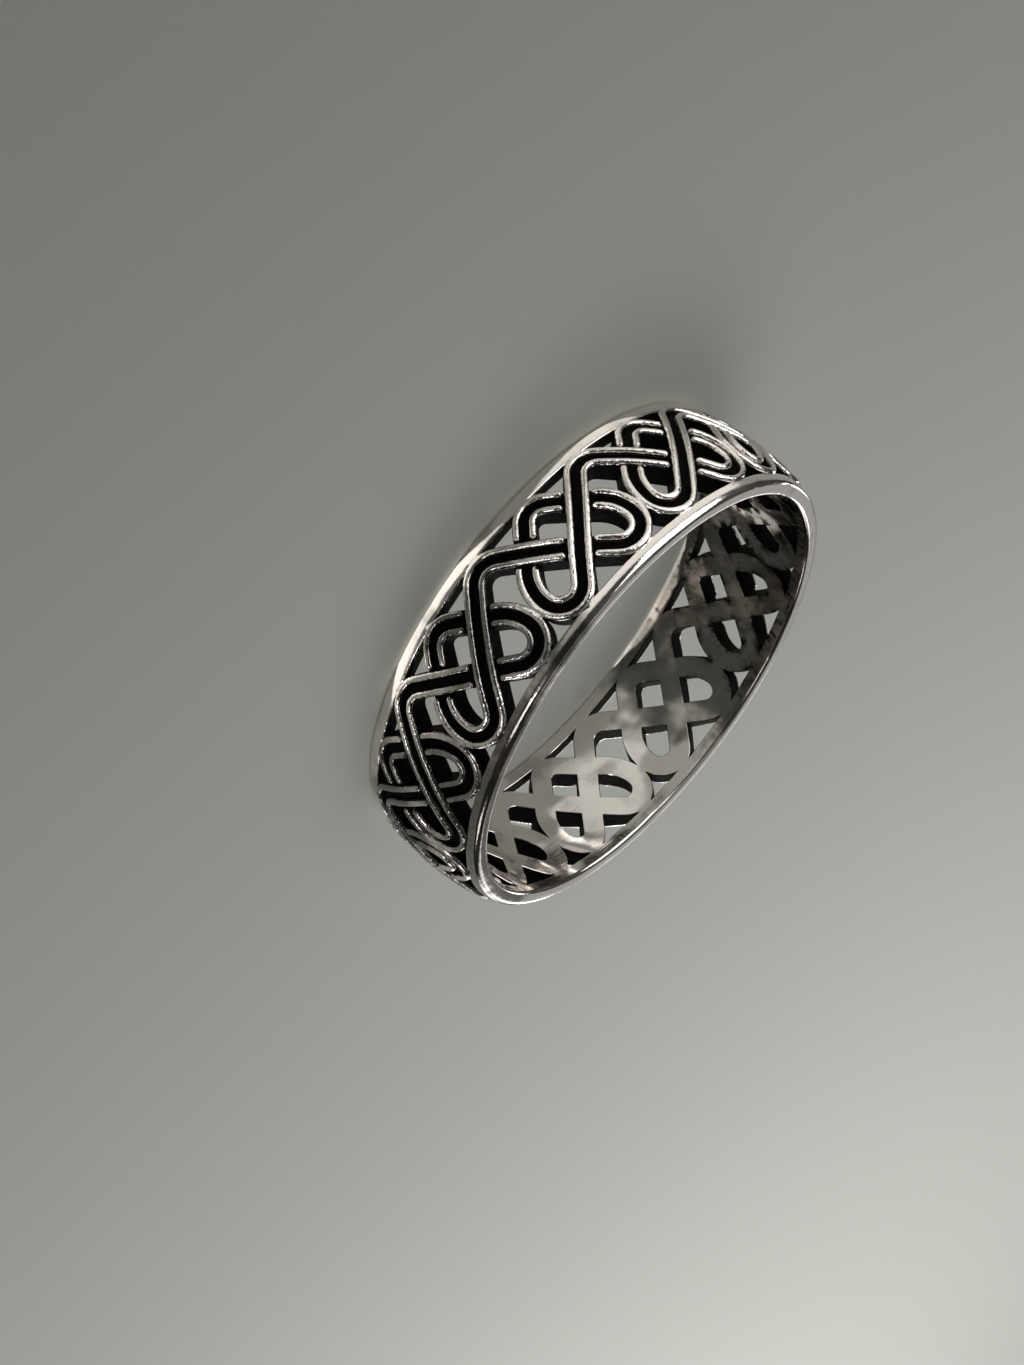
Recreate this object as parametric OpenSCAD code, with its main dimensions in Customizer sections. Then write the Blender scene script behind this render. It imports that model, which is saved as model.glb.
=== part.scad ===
// Openwork band ring: an interlaced knot between two plain rims.
// The ring is one casting. It lies on its lower rim, with the finger hole upright.
// The origin is at the middle of the hole, level with the surface that the ring lies on.

/* [Band] */
// Inside diameter, which is the finger size
bore_d = 19.7; // [19.5:0.05:19.8]
// Outside diameter of the two rims
rim_d = 21.2; // [21.1:0.05:21.25]
// Outside diameter of the bulging knotwork at mid height
crown_d = 22; // [21.8:0.05:22.2]
// Height of the band, from rim edge to rim edge
band_w = 6; // [5.9:0.05:6.1]
// Height of each plain rim
rim_w = 0.6; // [0.55:0.01:0.65]
// Rounding of the rims' outer edges
rim_round = 0.2; // [0.1:0.01:0.25]

/* [Knot] */
// Number of times that the knot repeats round the ring
repeats = 11; // [11:1:11]
// Width of the strand, over both its raised wires
strand_w = 0.95; // [0.93:0.01:1]
// How deep the strand's edge runs into a rim where the two are joined
weld = 0.075; // [0.05:0.005:0.1]
// Middle radius of the bend that rests on the lower rim
corner_r = 0.95; // [0.8:0.05:1.1]
// Distance along the rim from that bend to the middle of the loop
loop_x = 4.7; // [4.68:0.01:4.74]
// Middle radius of the loop's top
loop_r = 0.9; // [0.88:0.01:0.94]
// Middle radius of the loop's outer side
side_r = 1.95; // [1.7:0.05:2.1]
// Middle radius of the small bend between the two back legs
base_r = 0.8; // [0.7:0.05:0.9]

/* [Channel] */
// Width of the channel between the strand's two raised wires
channel_w = 0.38; // [0.3:0.01:0.42]
// Depth of that channel
channel_depth = 0.28; // [0.15:0.01:0.35]

/* [Hidden] */
$fn = 96;

bore_r = bore_d / 2;
rim_r = rim_d / 2;
crown_r = crown_d / 2;
mid_z = band_w / 2;
// Half height of the knotwork, up to the rims' near edges
field = mid_z - rim_w;
// Length of one repeat round the rims' outside, and its angle
pitch = PI * rim_d / repeats;
turn = 360 / repeats;
// The strand's half width, and how far its middle line swings up and down from mid height
half = strand_w / 2;
reach = field + weld - half;
// Largest angle between two points of a bend
bend_step = 15;
// The bulge stops this far short of the rims
short = 0.03;
// Cutters run past the metal by this much
past = 0.5;
// A straight stretch of channel runs this far into the bends at its ends
lap = 0.12;

// The knot is drawn flat, with x along the rim and y up from mid height.
// From the corner at x = 0 the strand runs up a leg, round a loop and down a back leg to the base
// at half a pitch. The other half of the repeat is its mirror image, travelled the other way.
corner_at = [0, corner_r - reach];
loop_at = [loop_x, reach - loop_r];
side_at = [loop_x + loop_r - side_r, reach - loop_r];
base_at = [pitch / 2, base_r - reach];

function along(a) = [cos(a), sin(a)];
function heading(v) = atan2(v.y, v.x);

// Headings of the leg and of the back leg, which touch the bends at their ends
leg_a = heading(loop_at - corner_at) + asin((corner_r + loop_r) / norm(loop_at - corner_at));
back_a = heading(base_at - side_at) - asin((side_r - base_r) / norm(base_at - side_at));

// Points of an arc, from angle a to angle b
function arc(at, r, a, b) =
    let (n = ceil(abs(b - a) / bend_step))
    [for (i = [0 : n]) at + r * along(a + (b - a) * i / n)];

// The bends at distance s to the left of the strand's middle line
function corner(s, a, b) = arc(corner_at, corner_r - s, a, b);
function loop(s, a, b) = arc(loop_at, loop_r + s, a, b);
function side(s, a, b) = arc(side_at, side_r + s, a, b);
function base(s, a, b) = arc(base_at, base_r + s, a, b);

// The ends of the leg, and the lower end of the back leg, at distance s to the left
function leg_low(s) = corner_at + (corner_r - s) * along(leg_a - 90);
function leg_top(s) = loop_at + (loop_r + s) * along(leg_a + 90);
function back_low(s) = base_at + (base_r + s) * along(back_a + 90);

// A list of points in the other half of the repeat, in the half after the next corner,
// in the half before the last corner, and from last to first
function mirrored(points) = [for (p = points) [pitch - p.x, p.y]];
function after_corner(points) = [for (p = points) [2 * pitch - p.x, p.y]];
function before_corner(points) = [for (p = points) [-p.x, p.y]];
function reversed(points) = [for (i = [len(points) - 1 : -1 : 0]) points[i]];

// Where the line through p at heading a crosses the line through q at heading b
function crossing(p, a, q, b) =
    let (d = q - p)
    p + along(a) * (d.x * sin(b) - d.y * cos(b)) / sin(b - a);
// Where an edge of the leg, or of the back leg, meets an edge of the other half's leg
function leg_cross(s, t) =
    crossing(leg_low(s), leg_a, mirrored([leg_low(t)])[0], 180 - leg_a);
function back_cross(s, t) =
    crossing(back_low(s), back_a, mirrored([leg_low(t)])[0], 180 - leg_a);

// Angles at which the strand's outer edge meets the rims and the next loop
rim_at_loop = asin((field - loop_at.y) / (loop_r + half));
rim_at_base = -asin((field + base_at.y) / (base_r + half));
rim_at_corner = -asin((field + corner_at.y) / (corner_r + half));
joint_over = acos((pitch - loop_at.x) / (loop_r + half));
joint_under = -acos((pitch - side_at.x) / (side_r + half));

// One half of each window that is the same on its left and right
half_base = concat([leg_cross(-half, -half), back_cross(-half, -half)],
                   base(-half, back_a + 90, -90));
half_top = concat([leg_cross(half, half)],
                  loop(half, leg_a + 90, 180 - rim_at_loop));
half_side = concat(side(half, joint_under, back_a + 90),
                   [back_cross(half, half)],
                   mirrored(corner(half, leg_a - 90, -90)));
half_notch = loop(half, rim_at_loop, joint_over);

// The whole window inside a loop, and the one at the foot of two legs
in_loop = concat([leg_cross(-half, half)],
                 loop(-half, leg_a + 90, 0),
                 side(-half, 0, back_a + 90),
                 [back_cross(-half, half)]);
in_foot = concat(base(half, rim_at_base, back_a + 90),
                 [back_cross(half, -half)],
                 mirrored(corner(-half, leg_a - 90, rim_at_corner)));

// The windows of one repeat. Columns: where the middle lies along x, and the outline
WINDOWS = [
    [pitch / 2, concat(half_base, reversed(mirrored(half_base)))],
    [pitch / 2, concat(half_top, reversed(mirrored(half_top)))],
    [pitch, concat(half_side, reversed(after_corner(half_side)))],
    [pitch, concat(half_notch, reversed(after_corner(half_notch)))],
    [loop_x, in_loop],
    [pitch - loop_x, mirrored(in_loop)],
    [pitch * 3 / 4, in_foot],
    [pitch / 4, mirrored(in_foot)]
];

// The channel runs along the strand's middle line, and stops where another strand passes over.
// Each stretch of it has edges at distance s to the left of that line.
corner_run = function(s)
    concat(before_corner(reversed(corner(s, -90, leg_a - 90))), corner(s, -90, leg_a - 90));
leg_run = function(s)
    [leg_low(s) - lap * along(leg_a), leg_top(s) + lap * along(leg_a)];
loop_run = function(s)
    concat(loop(s, leg_a + 90, 0), side(s, 0, back_a + 90), [back_cross(s, half)]);
base_run = function(s)
    let (edge = concat([back_cross(s, -half)], base(s, back_a + 90, -90)))
    concat(edge, reversed(mirrored(edge)));
under_loop_run = function(s) concat([leg_cross(s, half)], loop_run(s));
under_leg_run = function(s) [leg_low(s) - lap * along(leg_a), leg_cross(s, -half)];

function outline(run) = concat(run(channel_w / 2), reversed(run(-channel_w / 2)));

// The channels of one repeat, with the columns of the windows
CHANNELS = [
    [0, outline(corner_run)],
    [loop_x / 2, outline(leg_run)],
    [loop_x, outline(loop_run)],
    [pitch / 2, outline(base_run)],
    [pitch - loop_x, mirrored(outline(under_loop_run))],
    [pitch - loop_x / 2, mirrored(outline(under_leg_run))]
];

// Stands each flat shape up at its own place round the rim, and runs it out through the wall
module through_wall(shapes) {
    for (i = [0 : repeats - 1])
        for (shape = shapes)
            rotate(i * turn + shape[0] / pitch * turn)
                translate([bore_r - past, 0, mid_z])
                    rotate([90, 0, 90])
                        linear_extrude(crown_r - bore_r + 2 * past)
                            translate([-shape[0], 0])
                                polygon(shape[1]);
}

module channels() {
    difference() {
        through_wall(CHANNELS);
        translate([0, 0, mid_z])
            sphere(crown_r - channel_depth);
    }
}

// Section of a plain band as high as the ring, with its four long edges rounded
module plain_section() {
    thick = rim_r - bore_r;
    translate([rim_round, 0])
        square([thick - 2 * rim_round, band_w]);
    translate([0, rim_round])
        square([thick, band_w - 2 * rim_round]);
    for (x = [rim_round, thick - rim_round])
        for (y = [rim_round, band_w - rim_round])
            translate([x, y])
                circle(rim_round);
}

// The bulge of the knotwork, which stands out between the rims
module bulge() {
    difference() {
        intersection() {
            translate([0, 0, mid_z])
                sphere(crown_r);
            translate([0, 0, rim_w + short])
                cylinder(2 * (field - short), r = crown_r);
        }
        cylinder(band_w, r = bore_r);
    }
}

module band() {
    color("silver")
        difference() {
            union() {
                rotate_extrude()
                    translate([bore_r, 0])
                        plain_section();
                bulge();
            }
            through_wall(WINDOWS);
            channels();
        }
}

band();
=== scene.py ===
# %% [markdown]
# # Openwork knot band in blackened silver
# The object is a finger ring: two plain polished rims, and between them one endless strand that
# weaves over and under itself eleven times round. It was cast in one piece, blackened with a
# sulphur bath, and polished, so that only the raised metal is bright. It could be carved with
# booleans, but its thin wires want a mesh whose edges run along them, so the script builds that mesh
# itself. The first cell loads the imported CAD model, which fixes the size and place of what follows.

# %% Load the frame
import math
import bmesh
import bpy
import numpy as np
from mathutils import Matrix, Vector, noise
from mathutils.geometry import delaunay_2d_cdt


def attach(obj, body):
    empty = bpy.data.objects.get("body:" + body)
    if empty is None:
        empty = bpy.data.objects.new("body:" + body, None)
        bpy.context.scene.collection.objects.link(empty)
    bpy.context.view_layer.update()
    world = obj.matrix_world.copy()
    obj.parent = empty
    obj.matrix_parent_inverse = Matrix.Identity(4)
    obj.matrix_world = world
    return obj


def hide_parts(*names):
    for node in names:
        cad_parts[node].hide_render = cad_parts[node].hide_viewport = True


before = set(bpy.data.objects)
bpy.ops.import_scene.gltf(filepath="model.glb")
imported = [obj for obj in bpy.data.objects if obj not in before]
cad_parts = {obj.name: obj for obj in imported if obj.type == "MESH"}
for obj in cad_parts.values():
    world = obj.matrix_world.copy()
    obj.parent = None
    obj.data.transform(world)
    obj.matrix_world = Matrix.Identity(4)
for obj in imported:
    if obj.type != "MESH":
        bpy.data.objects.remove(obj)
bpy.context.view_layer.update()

MM = 0.001

# %% [markdown]
# ## Driving dimensions
# A jeweller thinks of this ring as a strip of pattern wrapped round a finger size. The same named
# sizes as in the CAD part drive the mesh here, in millimetres, so the two agree. The wires are what
# is left of the strand on both sides of its channel, so their width isn't a size of its own.

# %% Sizes of the ring and of its pattern, in millimetres
BORE_R = 9.85
RIM_R = 10.6
CROWN_R = 11.0
BAND_W = 6.0
RIM_W = 0.6
RIM_ROUND = 0.2
REPEATS = 11
STRAND_W = 0.95
WELD = 0.075
CORNER_R = 0.95
LOOP_X = 4.7
LOOP_R = 0.9
SIDE_R = 1.95
BASE_R = 0.8
CHANNEL_W = 0.38
CHANNEL_DEPTH = 0.28

MID_Z = BAND_W / 2
FIELD = MID_Z - RIM_W
RIM_TOP = MID_Z - RIM_ROUND
PITCH = 2 * math.pi * RIM_R / REPEATS
HALF = STRAND_W / 2
REACH = FIELD + WELD - HALF
WIRE = (STRAND_W - CHANNEL_W) / 4
print("one repeat:", round(PITCH, 3), "mm, each raised wire:", round(2 * WIRE, 3), "mm wide")

# %% [markdown]
# ## The camera
# The photograph looks at the ring from a little above its upper rim, with a long lens, and the
# camera is rolled far over. Three steps give that view: a place on a sphere round the ring, a
# direction to look in, and a roll about that direction. A camera empty with constraints would do
# too, but plain numbers keep the same view in every rerun.

# %% Camera at the photograph's angle
CAMERA_AWAY = 158.16
CAMERA_AZIMUTH = -0.308
CAMERA_HEIGHT_ANGLE = 21.14
LOOK_AZIMUTH = 178.534
LOOK_DOWN = 21.928
CAMERA_ROLL = -127.443
PHOTO_FOCAL_PIXELS = 3836.1
PHOTO_LONG_SIDE = 1365
SENSOR = 36.0
NEAREST_SEEN = 0.005


def direction(azimuth, elevation):
    """A unit vector from two angles in degrees."""
    a, e = math.radians(azimuth), math.radians(elevation)
    return Vector((math.cos(a) * math.cos(e), math.sin(a) * math.cos(e), math.sin(e)))


def aim(thing, look, roll=0.0):
    """Turns a camera or lamp to look along a vector, rolled by an angle in degrees."""
    upright = Vector((0, 0, 1)) if abs(look.z) < 0.999 else Vector((0, 1, 0))
    up = (upright - upright.dot(look) * look).normalized()
    side = look.cross(up)
    top = math.cos(math.radians(roll)) * up + math.sin(math.radians(roll)) * side
    turned = Matrix((look.cross(top), top, -look)).transposed()
    thing.rotation_euler = turned.to_euler()


camera = bpy.data.objects.new("camera", bpy.data.cameras.new("camera"))
bpy.context.scene.collection.objects.link(camera)
bpy.context.scene.camera = camera
camera.data.sensor_width = SENSOR
camera.data.lens = SENSOR * PHOTO_FOCAL_PIXELS / PHOTO_LONG_SIDE
camera.data.clip_start = NEAREST_SEEN
ring_middle = Vector((0, 0, MID_Z * MM))
camera.location = ring_middle + CAMERA_AWAY * MM * direction(CAMERA_AZIMUTH, CAMERA_HEIGHT_ANGLE)
aim(camera, direction(LOOK_AZIMUTH, -LOOK_DOWN), CAMERA_ROLL)
print("lens:", round(camera.data.lens, 2), "mm, camera at", [round(v / MM, 1) for v in camera.location])

# %% [markdown]
# ## The strand's middle line
# Unrolled flat, half a repeat of the strand is a chain of arcs and straight legs that touch: up
# from the bend on the lower rim, round a loop under the upper rim, and down to a small bend. The
# other half is its mirror image. Beziers could trace this by eye, but arcs and lines give the
# exact distance from any point to the strand, and the surface is shaped from that distance.

# %% Arcs and legs of half a repeat
def polar(angle):
    """The flat unit vector at an angle in degrees."""
    return np.array([math.cos(math.radians(angle)), math.sin(math.radians(angle))])


def heading(v):
    """The angle of a flat vector, in degrees."""
    return math.degrees(math.atan2(v[1], v[0]))


def left_of(v):
    """A flat vector turned by a quarter turn to the left."""
    return np.array([-v[1], v[0]])


corner_at = np.array([0.0, CORNER_R - REACH])
loop_at = np.array([LOOP_X, REACH - LOOP_R])
side_at = np.array([LOOP_X + LOOP_R - SIDE_R, REACH - LOOP_R])
base_at = np.array([PITCH / 2, BASE_R - REACH])
to_loop, to_base = loop_at - corner_at, base_at - side_at
leg_angle = heading(to_loop) + math.degrees(math.asin((CORNER_R + LOOP_R) / np.linalg.norm(to_loop)))
back_angle = heading(to_base) - math.degrees(math.asin((SIDE_R - BASE_R) / np.linalg.norm(to_base)))

# An arc has its centre, radius, first and last angle, and which side of it is the strand's left
ARCS = {
    "corner": (corner_at, CORNER_R, -90, leg_angle - 90, -1),
    "loop": (loop_at, LOOP_R, leg_angle + 90, 0, 1),
    "side": (side_at, SIDE_R, 0, back_angle + 90, 1),
    "base": (base_at, BASE_R, back_angle + 90, -90, 1),
}


def arc_end(name, last):
    """The first or last point of an arc."""
    at, r, first_angle, last_angle, _ = ARCS[name]
    return at + r * polar(last_angle if last else first_angle)


LEGS = {
    "leg": (arc_end("corner", True), arc_end("loop", False)),
    "back": (arc_end("side", True), arc_end("base", False)),
}
ROUTE = ("corner", "leg", "loop", "side", "back", "base")


def piece_length(name):
    """The length of an arc or a leg."""
    if name in LEGS:
        return float(np.linalg.norm(LEGS[name][1] - LEGS[name][0]))
    _, r, a, b, _ = ARCS[name]
    return math.radians(abs(b - a)) * r


half_length = sum(piece_length(name) for name in ROUTE)
print("strand in the whole ring:", round(2 * REPEATS * half_length, 1), "mm")

# %% [markdown]
# ## Distance to the strand
# For a point on the flat pattern, each arc or leg gives the distance to the strand's middle line
# if the point lies beside it. The smallest one is the distance that counts. The mirror half is
# asked about the mirrored point, and neighbours in the next repeats about the shifted point.

# %% Signed distances
# The distance that stands for no strand, and the slack for rounding errors at an arc's ends
FAR = 99.0
SLACK = 1e-7
TRIED_POINTS = 4000


def beside_leg(p, leg, slack=0.0):
    """Distance to the left of a straight leg, for points beside it."""
    start, end = LEGS[leg]
    length = np.linalg.norm(end - start)
    along = (end - start) / length
    rel = p - start
    t = rel @ along
    s = rel @ left_of(along)
    return np.where((t >= -slack) & (t <= length + slack), s, FAR)


def beside_arc(p, name):
    """Distance to the left of an arc, for points in its sector."""
    at, r, a, b, left = ARCS[name]
    rel = p - at
    angle = np.degrees(np.arctan2(rel[:, 1], rel[:, 0]))
    low, high = min(a, b), max(a, b)
    angle = low + np.mod(angle - low + SLACK, 360)
    s = left * (np.linalg.norm(rel, axis=1) - r)
    return np.where(angle <= high + 2 * SLACK, s, FAR)


def beside_strand(p):
    """Distance to the middle line of the first half of the strand."""
    found = np.full(len(p), FAR)
    for name in ROUTE:
        s = beside_leg(p, name, SLACK) if name in LEGS else beside_arc(p, name)
        found = np.where(np.abs(s) < np.abs(found), s, found)
    return found


def shifted(p, repeats):
    """The points moved along by whole repeats."""
    return p + np.array([repeats * PITCH, 0.0])


def mirrored(p):
    """The points mirrored into the other half of the repeat."""
    return np.column_stack([PITCH - p[:, 0], p[:, 1]])


def is_metal(p):
    """Whether points lie on a strand or on a rim, and not over a window."""
    near = [np.abs(beside_strand(shifted(p, n))) for n in (-1, 0, 1)]
    near += [np.abs(beside_strand(mirrored(shifted(p, n)))) for n in (-1, 0, 1)]
    return (np.min(near, axis=0) < HALF) | (np.abs(p[:, 1]) > FIELD)


tried = np.random.default_rng(1).uniform((0, -MID_Z), (PITCH, MID_Z), (TRIED_POINTS, 2))
print("share of the band that is metal:", round(float(is_metal(tried).mean()), 2))

# %% [markdown]
# ## Which strand passes over
# Each repeat has three crossings. The first half's leg passes over both strands that it meets, and
# the mirror half's leg passes over the first half's back leg. Under a crossing the two wires end in
# rounded tips a little before the upper strand, as the caster's tool left them. A mask painted by
# hand could say the same, but a distance to the upper leg also rounds the tips.

# %% Over and under
# The gap that a tip leaves, and how far past its ends a leg still counts
BESIDE_GAP = 0.1
LEG_PAST = 0.3


def over_first(p):
    """How far points of the first half lie from a leg that passes over them."""
    d = np.abs(beside_leg(mirrored(p), "leg", LEG_PAST))
    return np.where(p[:, 1] < 0, d, FAR)


def over_mirror(p):
    """How far points of the mirror half, given as mirrored points, lie from the leg over them."""
    return np.abs(beside_leg(mirrored(p), "leg", LEG_PAST))


under_tips = HALF + BESIDE_GAP
print("wires pass under a leg, and end", round(under_tips, 3), "mm from the leg's middle line")

# %% [markdown]
# ## The height of the surface
# The strand's top is a channel floor with a round wire along each edge. A wire is a dome over the
# distance from the wire's own middle line, and the same dome closes its tips, so one rule shapes
# both. Where two wires or a wire and a rim run together, a soft maximum leaves a small fillet, as
# molten metal and polishing do. A bevel modifier can't do this on edges that meet so closely.

# %% Domes and fillets
# How far a wire's outer wall leans out, the fillet's size, and the slack at a strand's edge
WALL_LEAN = 0.025
FILLET = 0.05
EDGE_SLACK = 1e-5


def dome(rho):
    """Height of a wire above the channel floor, from the distance to the wire's middle."""
    top = CHANNEL_DEPTH - WIRE + np.sqrt(np.clip(WIRE**2 - rho**2, 0, None))
    foot = (CHANNEL_DEPTH - WIRE) * np.clip(1 - (rho - WIRE) / WALL_LEAN, 0, 1)
    return np.where(rho <= WIRE, top, foot)


def soft_max(a, b):
    """The higher of two surfaces, with a small fillet where they meet."""
    return (a + b + np.sqrt((a - b) ** 2 + FILLET**2)) / 2


def strand_lift(p, over):
    """Height of one half's wires above the floor, and -FAR where the strand isn't."""
    s = beside_strand(p)
    tip = np.clip(WIRE - (over(p) - under_tips), 0, None)
    rho = np.hypot(np.abs(s) - (HALF - WIRE), tip)
    return np.where(np.abs(s) <= HALF + EDGE_SLACK, dome(rho), -FAR)


def lifts(p):
    """The height of every strand over each point, highest first."""
    found = []
    for n in (-1, 0, 1):
        found.append(strand_lift(shifted(p, n), over_first))
        found.append(strand_lift(mirrored(shifted(p, n)), over_mirror))
    return -np.sort(-np.array(found), axis=0)


print("a wire stands", round(float(dome(0.0)), 3), "mm above the channel floor")

# %% [markdown]
# ## From height to radius
# Between the rims the ring bulges like a slice of a ball, and the rims have soft shoulders. A
# super-ellipse gives the shoulder, because one number says how square it is: 2 is an ellipse, and a
# worn ring's edge is a little squarer. This one function is the shape of the whole outside.

# %% Radius of the outer surface
RIM_EASE = 0.07
RIM_SQUARE = 3.2
ROUNDING = 1e-6
rim_middle = (RIM_R + BORE_R) / 2
rim_half = (RIM_R - BORE_R) / 2


def top_radius(p):
    """Distance from the ring's axis to the outer surface, and the height above the floor."""
    high = lifts(p)
    lift = np.where(high[1] > -FAR, soft_max(high[0], np.maximum(high[1], 0)), high[0])
    lift = np.minimum(lift, CHANNEL_DEPTH)
    y = np.abs(p[:, 1])
    strand = np.sqrt(CROWN_R**2 - y**2) - CHANNEL_DEPTH + lift
    strand = np.where(lift > -FAR, strand, 0)
    ease = np.clip(RIM_EASE - (y - FIELD), 0, RIM_EASE)
    up = np.clip((y - FIELD) / RIM_W, 0, 1)
    shoulder = rim_middle + rim_half * (1 - up**RIM_SQUARE) ** (1 / RIM_SQUARE)
    rim = shoulder - RIM_EASE + np.sqrt(RIM_EASE**2 - ease**2)
    joined = np.where(strand > 0, soft_max(rim, strand), rim)
    on_rim = y >= FIELD - ROUNDING
    return np.where(on_rim, joined, strand), np.where(on_rim, CHANNEL_DEPTH, np.maximum(lift, 0))


rim_face = np.array([[0.0, FIELD + RIM_EASE]])
print("radius of a rim's outside, mm:", round(float(top_radius(rim_face)[0][0]), 3))

# %% [markdown]
# ## Mesh lines along the strand
# A mesh shows a thin wire well only if its edges run along the wire. So lines will be laid at fixed
# distances from the strand's middle line, closer together where the wire turns down. A regular grid
# would need many times the triangles. Here the middle line gets its stations, and the rows their
# distances.

# %% Stations along the strand, and rows beside it
STRAIGHT_STEP = 0.19
BEND_STEP = 0.125
# Rows on a wire, as shares of its half width
WIRE_ROWS = (0, 0.45, 0.78, 0.96)


def stations():
    """Points of the middle line, and the unit vector to its left at each."""
    points, lefts = [], []
    for name in ROUTE:
        length = piece_length(name)
        n = max(2, round(length / (STRAIGHT_STEP if name in LEGS else BEND_STEP)))
        steps = np.arange(n + (name == ROUTE[-1])) / n
        if name in LEGS:
            start, end = LEGS[name]
            along = (end - start) / length
            points += [start + t * (end - start) for t in steps]
            lefts += [left_of(along)] * len(steps)
        else:
            at, r, a, b, left = ARCS[name]
            points += [at + r * polar(a + (b - a) * t) for t in steps]
            lefts += [left * polar(a + (b - a) * t) for t in steps]
    return np.array(points), np.array(lefts)


rows = [HALF, HALF - 2 * WIRE, HALF - 2 * WIRE - WALL_LEAN]
for share in WIRE_ROWS:
    rows += [HALF - WIRE + share * WIRE, HALF - WIRE - share * WIRE]
rows = sorted(set(rows) | {-r for r in rows} | {0.0})
print("stations:", len(stations()[0]), "rows:", len(rows))

# %% [markdown]
# ## Cutting the lines at the crossings
# Where another strand passes over, the lines underneath have to stop, and round a wire's tip they
# need extra points. Both come from the same distance to the upper leg: a line is cut exactly where
# that distance passes a limit, so the cut ends lie on the upper strand's edge.

# %% Extra points, and cut lines
TIP_SHARES = (-0.25, 0.0, 0.12, 0.45, 1.0)
TIP_AT = [under_tips + share * WIRE for share in TIP_SHARES]
TOO_NEAR = 0.045


def with_points_at(line, measure, limits):
    """Adds a point to a line wherever measure passes one of the limits."""
    m = measure(line)
    found = []
    for i in range(1, len(line)):
        for limit in limits:
            if (m[i - 1] - limit) * (m[i] - limit) < 0 and max(m[i - 1], m[i]) < FAR:
                share = (limit - m[i - 1]) / (m[i] - m[i - 1])
                found.append((i - 1 + share, line[i - 1] + share * (line[i] - line[i - 1])))
    if not found:
        return line
    added = np.array([point for _, point in found])
    for i, point in enumerate(line):
        if i in (0, len(line) - 1) or np.linalg.norm(added - point, axis=1).min() > TOO_NEAR:
            found.append((i, point))
    return np.array([point for _, point in sorted(found, key=lambda item: item[0])])


def kept_runs(line, measure, limit):
    """The stretches of a line where measure is above limit, ending exactly on the limit."""
    m = measure(line) - limit
    runs, run = [], []
    for i, point in enumerate(line):
        if i and (m[i] > 0) != (m[i - 1] > 0):
            share = m[i - 1] / (m[i - 1] - m[i])
            run.append(line[i - 1] + share * (point - line[i - 1]))
            if m[i] <= 0:
                runs.append(run)
                run = []
        if m[i] > 0:
            run.append(point)
    runs.append(run)
    return [np.array(r) for r in runs if len(r) > 1]


def inside_field(p):
    """How far points lie inside the field between the rims."""
    return FIELD - np.abs(p[:, 1])


middle_runs = kept_runs(stations()[0], over_first, HALF)
print("the first half's middle line is seen in", len(middle_runs), "stretches")

# %% [markdown]
# ## All the lines of one repeat
# Each row is laid beside the middle line and cut. The upper leg also gets a line at the foot of its
# outer walls, because there the surface drops steeply on to the strand below it.

# %% Lines beside the strand, and at the foot of the legs
FOOT_POINTS = 60
FOOT_PARTS = 5


def strand_lines(over):
    """Lines beside one half of the strand, cut where a leg passes over it."""
    middle, left = stations()
    found = []
    for s in rows:
        line = middle + s * left
        line[:, 0] = np.minimum(line[:, 0], PITCH)
        line = with_points_at(line, over, TIP_AT)
        edge = abs(s) > HALF - ROUNDING
        for run in kept_runs(line, over, HALF if edge else TIP_AT[0]):
            found += kept_runs(run, inside_field, 0)
    return found


def foot_lines(crossed):
    """Lines at the foot of a leg's outer walls, where it passes over other strands."""
    start, end = LEGS["leg"]
    along = (end - start) / np.linalg.norm(end - start)
    left = left_of(along)
    found = []
    for side in (-1, 1):
        line = np.linspace(start, end, FOOT_POINTS) + side * (HALF + WALL_LEAN) * left
        for other in crossed:
            runs = kept_runs(line, lambda p: HALF - np.abs(beside_leg(mirrored(p), other)), 0)
            found += [run[:: max(1, len(run) // FOOT_PARTS)] for run in runs]
    return found


first_lines = strand_lines(over_first) + foot_lines(("leg", "back"))
mirror_lines = strand_lines(over_mirror) + foot_lines(("back",))
lines = first_lines + [mirrored(line) for line in mirror_lines]
print("lines in one repeat:", len(lines), "points:", sum(len(line) for line in lines))

# %% [markdown]
# ## One repeat as a triangle mesh
# Blender's constrained Delaunay function joins all those lines into triangles without crossing
# them. Triangles over a window are left out. What remains is the outer skin of one repeat, still
# flat. Making it by hand or with booleans would leave long thin faces that shade badly.

# %% Triangles of the outer skin
COLUMNS = 40
RIM_ROWS = (0, 0.018, 0.042, 0.07, 0.12, 0.2, 0.3, RIM_TOP - FIELD)
# Points this close are one, points this close to the border lie on it, and this area is none
MERGED = 3e-4
ON_BORDER = 2e-4
NO_AREA = 1e-9
columns = np.linspace(0, PITCH, COLUMNS + 1)


def triangulate(chains, loose=()):
    """Triangles over all the points, with the chains as edges."""
    points, edges = [], []
    for chain in chains:
        first = len(points)
        points += [Vector((float(x), float(y))) for x, y in chain]
        edges += [(first + i, first + i + 1) for i in range(len(chain) - 1)]
    points += [Vector((float(x), float(y))) for x, y in loose]
    found, _, faces, _, _, _ = delaunay_2d_cdt(points, edges, [], 0, MERGED)
    flat = np.array([tuple(v) for v in found], float)
    flat[np.abs(flat[:, 0]) < ON_BORDER, 0] = 0
    flat[np.abs(flat[:, 0] - PITCH) < ON_BORDER, 0] = PITCH
    tris = np.array([f for f in faces if len(f) == 3])
    a, b, c = flat[tris[:, 0]], flat[tris[:, 1]], flat[tris[:, 2]]
    area = (b[:, 0] - a[:, 0]) * (c[:, 1] - a[:, 1]) - (c[:, 0] - a[:, 0]) * (b[:, 1] - a[:, 1])
    tris[area < 0] = tris[area < 0][:, ::-1]
    return flat, tris[np.abs(area) > NO_AREA]


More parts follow.
